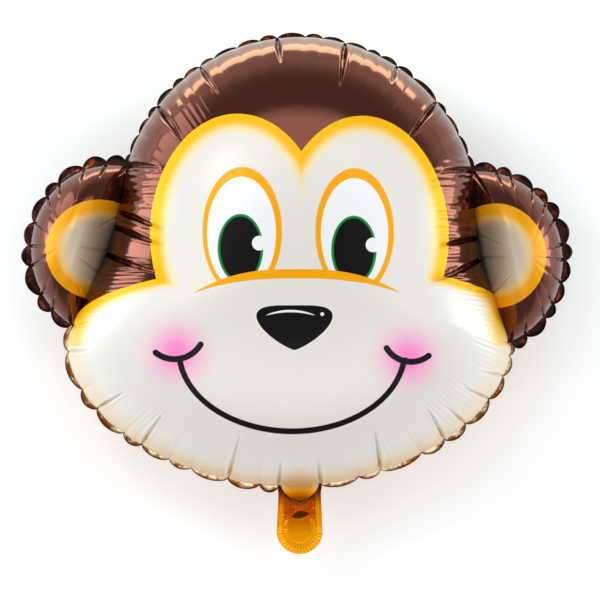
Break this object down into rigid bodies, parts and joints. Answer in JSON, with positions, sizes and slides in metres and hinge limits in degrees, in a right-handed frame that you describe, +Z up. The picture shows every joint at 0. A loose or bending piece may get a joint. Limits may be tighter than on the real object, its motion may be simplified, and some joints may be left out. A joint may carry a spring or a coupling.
{
  "type": "monkey foil balloon",
  "caption": "Air-filled foil balloon shaped as a smiling monkey's head with round ears, a scalloped weld edge and a filling tail, lying face up.",
  "frame": {"origin": "centre of the bounding box in X and Y, on the surface the balloon lies on", "axes": "+Z up and out of the face, +Y from the chin and filling tail to the crown, +X from the left ear to the right ear as a person looks down at the face"},
  "size_m": [0.6064, 0.5802, 0.2242],
  "materials": {
    "printed_foil": "metallised film, brown print with a white face",
    "amber_foil": "metallised film, clear amber print on the filling tail"
  },
  "bodies": {
    "root": {"foil_balloon": "printed_foil"}
  },
  "joints": []
}
